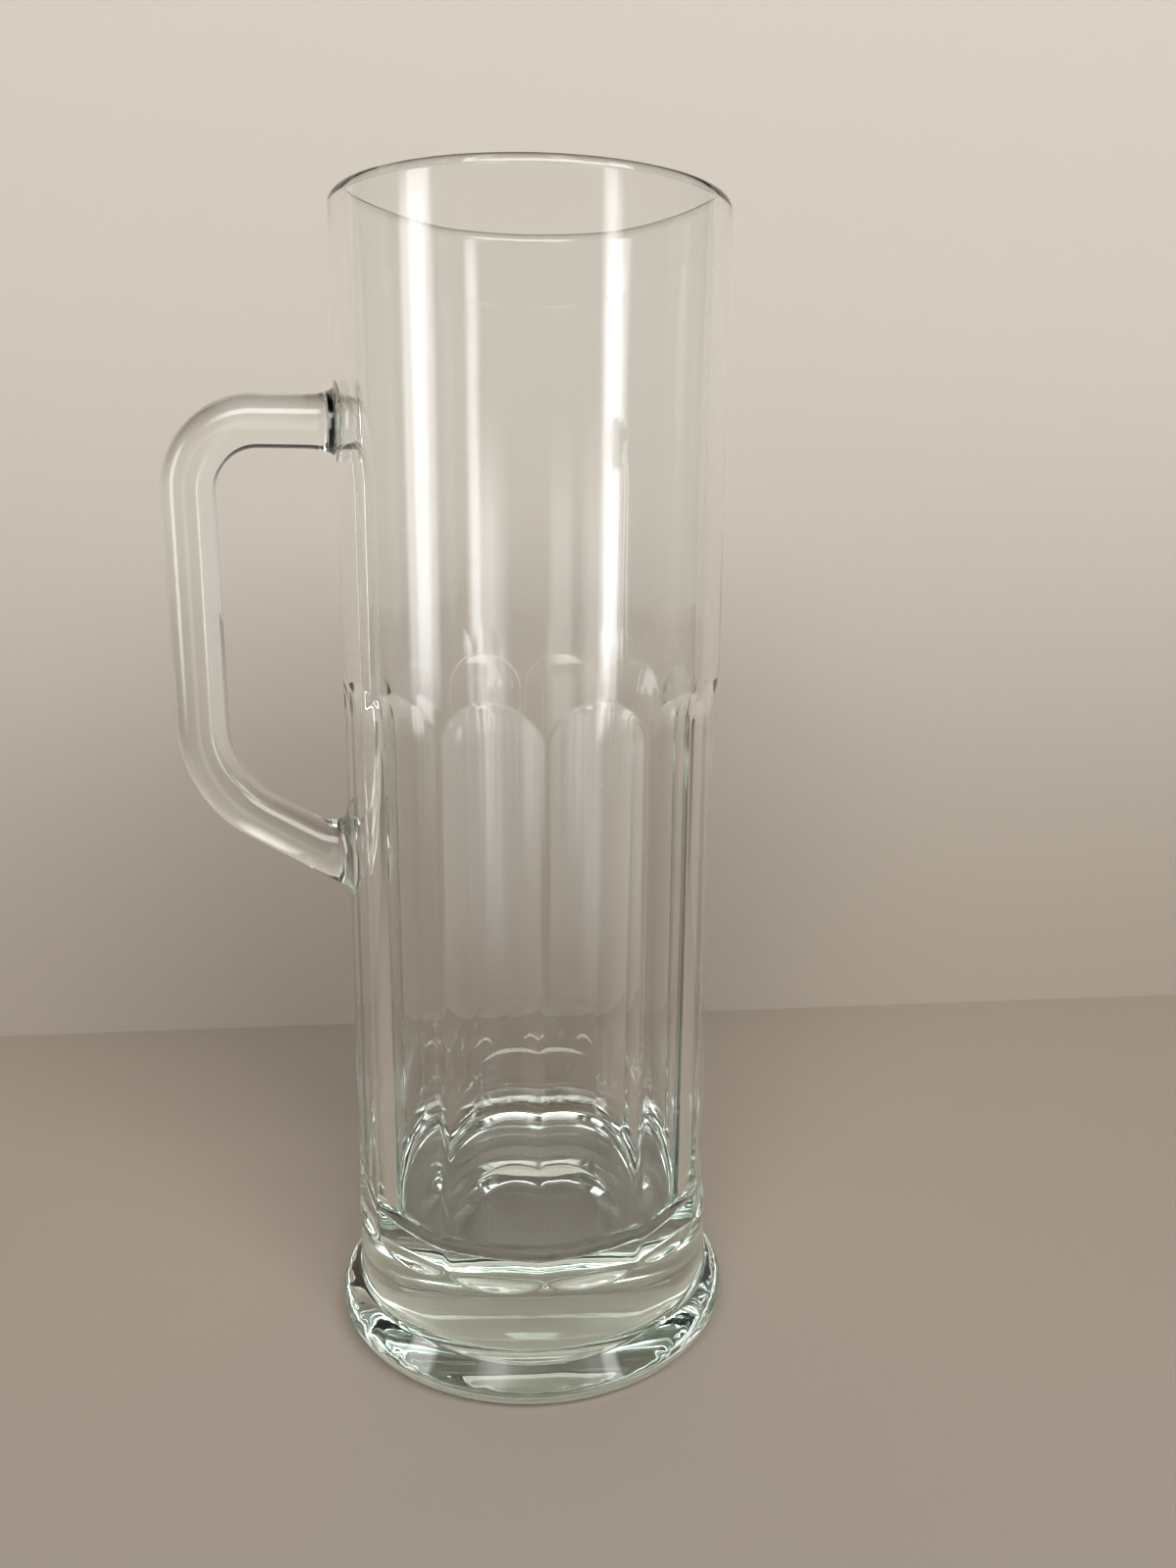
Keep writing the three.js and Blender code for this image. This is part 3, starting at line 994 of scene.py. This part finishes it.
@dataclass
class Studio:
    """The pale floor and wall, the lamps, the dim room and the camera."""

    floor_drop: float = 0.0002
    wall_place: float = 0.139
    wall_tall: float = 0.34
    wall_wide: float = 0.62
    spread: float = 3.0
    floor_colour: tuple[float, float, float] = (0.48, 0.42, 0.36)
    # Painted shade: the darker tone that the wall's colour takes at the floor, and the height over which it
    # blends up to the wall's own tone.
    wall_painted_shade_colour: tuple[float, float, float] = (0.50, 0.45, 0.39)
    wall_colour: tuple[float, float, float] = (0.74, 0.70, 0.64)
    wall_painted_shade_height: float = 0.22
    horizon_colour: tuple[float, float, float] = (0.40, 0.375, 0.345)
    ceiling_colour: tuple[float, float, float] = (0.03, 0.03, 0.03)
    ceiling_edge: tuple[float, float] = (0.06, 0.45)
    paint_roughness: float = 0.9
    paint_gloss: float = 0.1
    aim_height: float = 0.12
    camera_place: tuple[float, float, float] = (-0.01424, -0.23286, 0.16306)
    camera_yaw: float = math.radians(6.14)
    camera_pitch: float = 0.2267
    camera_roll: float = 0.0085
    focal_pixels: float = 1261.9
    photo_height: float = 1599.0
    sensor: float = 36.0
    nearest_seen: float = 0.01
    bounces: int = 32
    glass_bounces: int = 24
    mirror_bounces: int = 16
    windows: tuple[Lamp, ...] = (
        Lamp("left_window", -67.5, 11.0, 0.36, 0.125, 0.30, 6.0, (0.97, 0.99, 1.0)),
        Lamp("right_window", 40.0, 11.0, 0.36, 0.07, 0.30, 4.5, (0.97, 0.99, 1.0), (0.3, 0.2)),
        Lamp("left_glow", -26.0, -5.5, 0.2, 0.085, 0.2, 1.5, (0.98, 0.99, 1.0), (0.3, 0.3)),
        Lamp("right_glow", 33.0, -5.5, 0.2, 0.085, 0.2, 1.5, (0.98, 0.99, 1.0), (0.3, 0.3)),
    )
    softbox: Lamp = Lamp("softbox", 5.0, 42.0, 1.4, 2.2, 0.7, 7.5, (1.0, 0.98, 0.95))

    def build(self, pieces: list[bpy.types.Object]) -> None:
        """Set up the floor, the wall, the light and the camera.

        Args:
            pieces: The glass pieces, on which the windows shine.
        """
        self._floor()
        self._wall()
        self._room()
        target = Vector((0, 0, self.aim_height))
        glass = bpy.data.collections.new("lit_glass")
        for piece in pieces:
            glass.objects.link(piece)
        for window in self.windows:
            window.build(target, glass)
        self.softbox.build(target, None)
        self._camera()
        bpy.context.scene.view_settings.view_transform = "Standard"
        cycles = bpy.context.scene.cycles
        cycles.max_bounces = self.bounces
        cycles.transmission_bounces = self.glass_bounces
        cycles.glossy_bounces = self.mirror_bounces

    def _paint(self, name: str, colour: tuple[float, float, float]) -> bpy.types.Material:
        """Mix a matt paint for the floor or the wall.

        Args:
            name: Name of the paint.
            colour: Its colour.

        Returns:
            The new material.
        """
        paint = bpy.data.materials.new(name)
        paint.use_nodes = True
        shader = paint.node_tree.nodes["Principled BSDF"]
        shader.inputs["Base Color"].default_value = (*colour, 1)
        shader.inputs["Roughness"].default_value = self.paint_roughness
        shader.inputs["Specular IOR Level"].default_value = self.paint_gloss
        return paint

    def _floor(self) -> None:
        """The pale floor, a hair below the foot so that the two skins never coincide."""
        deselect_all()
        bpy.ops.mesh.primitive_plane_add(size=self.spread, location=(0, 0, -self.floor_drop))
        floor = bpy.context.object
        floor.name = "floor"
        floor.data.materials.append(self._paint("floor_paint", self.floor_colour))

    def _wall(self) -> None:
        """The paler wall close behind the mug, with painted shade that darkens its colour towards the floor,
        and clear when seen from its back.
        """
        deselect_all()
        bpy.ops.mesh.primitive_plane_add(size=1, rotation=(math.pi / 2, 0, 0),
                                         location=(0, self.wall_place, self.wall_tall / 2 - self.floor_drop))
        wall = bpy.context.object
        wall.name = "wall"
        wall.scale = (self.wall_wide, self.wall_tall, 1)
        bpy.ops.object.transform_apply(location=True, rotation=True, scale=True)
        paint = self._paint("wall_paint", self.wall_colour)
        tree = paint.node_tree
        shader = tree.nodes["Principled BSDF"]
        place = tree.nodes.new("ShaderNodeNewGeometry")
        parts = tree.nodes.new("ShaderNodeSeparateXYZ")
        # Painted shade: the wall's colour blends from the darker tone at the floor up to its own tone,
        # standing in for less light low on the wall.
        fade = tree.nodes.new("ShaderNodeMapRange")
        fade.interpolation_type = "SMOOTHSTEP"
        fade.inputs["From Max"].default_value = self.wall_painted_shade_height
        blend = tree.nodes.new("ShaderNodeMix")
        blend.data_type = "RGBA"
        blend.inputs["A"].default_value = (*self.wall_painted_shade_colour, 1)
        blend.inputs["B"].default_value = (*self.wall_colour, 1)
        tree.links.new(place.outputs["Position"], parts.inputs["Vector"])
        tree.links.new(parts.outputs["Z"], fade.inputs["Value"])
        tree.links.new(fade.outputs["Result"], blend.inputs["Factor"])
        tree.links.new(blend.outputs["Result"], shader.inputs["Base Color"])
        clear = tree.nodes.new("ShaderNodeBsdfTransparent")
        mix = tree.nodes.new("ShaderNodeMixShader")
        tree.links.new(place.outputs["Backfacing"], mix.inputs["Fac"])
        tree.links.new(shader.outputs["BSDF"], mix.inputs[1])
        tree.links.new(clear.outputs["BSDF"], mix.inputs[2])
        tree.links.new(mix.outputs["Shader"], tree.nodes["Material Output"].inputs["Surface"])
        wall.data.materials.append(paint)

    def _room(self) -> None:
        """The dim light that comes from all round, with a darker ceiling."""
        world = bpy.data.worlds.new("room")
        world.use_nodes = True
        tree = world.node_tree
        way = tree.nodes.new("ShaderNodeTexCoord")
        parts = tree.nodes.new("ShaderNodeSeparateXYZ")
        rise = tree.nodes.new("ShaderNodeMapRange")
        rise.interpolation_type = "SMOOTHSTEP"
        rise.inputs["From Min"].default_value = self.ceiling_edge[0]
        rise.inputs["From Max"].default_value = self.ceiling_edge[1]
        blend = tree.nodes.new("ShaderNodeMix")
        blend.data_type = "RGBA"
        blend.inputs["A"].default_value = (*self.horizon_colour, 1)
        blend.inputs["B"].default_value = (*self.ceiling_colour, 1)
        tree.links.new(way.outputs["Generated"], parts.inputs["Vector"])
        tree.links.new(parts.outputs["Z"], rise.inputs["Value"])
        tree.links.new(rise.outputs["Result"], blend.inputs["Factor"])
        tree.links.new(blend.outputs["Result"], tree.nodes["Background"].inputs["Color"])
        bpy.context.scene.world = world

    def _camera(self) -> None:
        """The camera at the photograph's place, angle and field of view."""
        cos_pitch, sin_pitch = math.cos(self.camera_pitch), math.sin(self.camera_pitch)
        cos_yaw, sin_yaw = math.cos(self.camera_yaw), math.sin(self.camera_yaw)
        forward = Vector((sin_yaw * cos_pitch, cos_yaw * cos_pitch, -sin_pitch))
        right = Vector((cos_yaw, -sin_yaw, 0))
        up = right.cross(forward)
        cos_roll, sin_roll = math.cos(self.camera_roll), math.sin(self.camera_roll)
        across = cos_roll * right + sin_roll * up
        upright = cos_roll * up - sin_roll * right
        data = bpy.data.cameras.new("photo_camera")
        data.sensor_width = self.sensor
        data.lens = self.sensor * self.focal_pixels / self.photo_height
        data.clip_start = self.nearest_seen
        camera = bpy.data.objects.new("photo_camera", data)
        turn = Matrix((across, upright, -forward)).transposed().to_4x4()
        camera.matrix_world = Matrix.Translation(self.camera_place) @ turn
        bpy.context.scene.collection.objects.link(camera)
        bpy.context.scene.camera = camera


def main() -> None:
    """Build the mug's pieces in order, dress them and set up the studio."""
    logging.basicConfig(level=logging.INFO, format="%(name)s: %(message)s")
    marks = SurfaceMarks().build()
    body = PressedBody()
    handle = RodHandle(wall=body)
    body_piece = body.build()
    body.dress(body_piece, body.glass.material(marks), handle.seats())
    LOG.info("%s: %d faces", body_piece.name, len(body_piece.data.polygons))
    handle_piece = handle.build()
    handle.dress(handle_piece, handle.glass.material(marks))
    LOG.info("%s: %d faces", handle_piece.name, len(handle_piece.data.polygons))
    Studio().build([body_piece, handle_piece])


if __name__ == "__main__":
    main()
